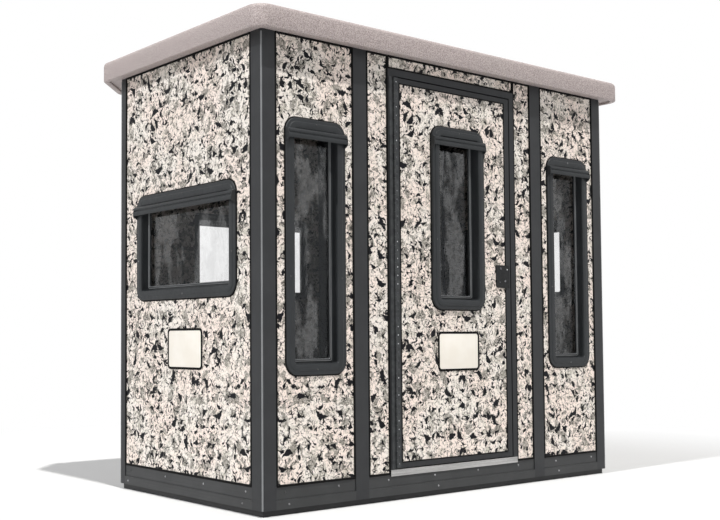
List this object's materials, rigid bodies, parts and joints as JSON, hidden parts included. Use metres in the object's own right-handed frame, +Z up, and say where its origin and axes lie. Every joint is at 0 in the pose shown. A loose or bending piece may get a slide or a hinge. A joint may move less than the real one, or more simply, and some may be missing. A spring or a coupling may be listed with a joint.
{
  "type": "insulated box hunting blind",
  "caption": "Box-shaped hunting blind cabin with printed panels, charcoal posts, hooded windows all round, a glazed hinged door and an overhanging moulded roof.",
  "frame": {"origin": "centre of the walls' footprint, on the underside of the base board, at ground level", "axes": "+Z up, +X along the door side from the hinge side to the latch side, +Y from the door side to the back"},
  "size_m": [2.611, 1.562, 2.257],
  "materials": {
    "printed_panel": "smooth panel with an off-white winter foliage print",
    "frame_plastic": "charcoal extruded plastic with fine vertical ribs",
    "sill_plastic": "grey extruded plastic",
    "base_plastic": "dark recycled board",
    "floor_rubber": "dark floor covering",
    "ceiling_lining": "dark lining",
    "roof_plastic": "warm grey moulded plastic, finely speckled",
    "door_trim_plastic": "near-black extruded trim",
    "threshold_metal": "mill-finish strip",
    "hinge_metal": "satin strip with rivets",
    "latch_metal": "satin black plate",
    "window_plastic": "moulded charcoal plastic",
    "tinted_glass": "smoke tint"
  },
  "bodies": {
    "cabin": {"base_board": "base_plastic", "floor_panel": "floor_rubber", "sill_front": "sill_plastic", "sill_back": "sill_plastic", "sill_left": "sill_plastic", "sill_right": "sill_plastic", "corner_post_front_left": "frame_plastic", "corner_post_front_right": "frame_plastic", "corner_post_back_left": "frame_plastic", "corner_post_back_right": "frame_plastic", "front_mullion_left": "frame_plastic", "front_mullion_right": "frame_plastic", "back_mullion": "frame_plastic", "front_panel_left": "printed_panel", "front_panel_door_left": "printed_panel", "front_panel_door_right": "printed_panel", "front_panel_over_door": "printed_panel", "front_panel_right": "printed_panel", "left_panel": "printed_panel", "right_panel": "printed_panel", "back_panel_left": "printed_panel", "back_panel_right": "printed_panel", "ceiling_panel": "ceiling_lining", "roof_cap": "roof_plastic", "door_jamb_hinge": "door_trim_plastic", "door_jamb_latch": "door_trim_plastic", "door_head": "door_trim_plastic", "door_threshold": "threshold_metal", "hinge_barrel": "hinge_metal", "window_frame_front_left": "window_plastic", "window_frame_front_right": "window_plastic", "window_frame_left": "window_plastic", "window_frame_right": "window_plastic", "window_frame_back_wide": "window_plastic", "window_frame_back_tall": "window_plastic", "window_glass_front": "tinted_glass", "window_glass_ends": "tinted_glass", "window_glass_back": "tinted_glass"},
    "door": {"door_panel": "printed_panel", "door_edge_trim": "door_trim_plastic", "hinge_leaf": "hinge_metal", "latch_plate": "latch_metal", "door_window_frame": "window_plastic", "door_window_glass": "tinted_glass"}
  },
  "joints": [
    {"name": "door_hinge", "type": "hinge", "parent": "cabin", "child": "door", "pos_m": [-0.422, -0.6176, 0.172], "axis": [0, 0, -1], "range_deg": [0, 105]}
  ]
}
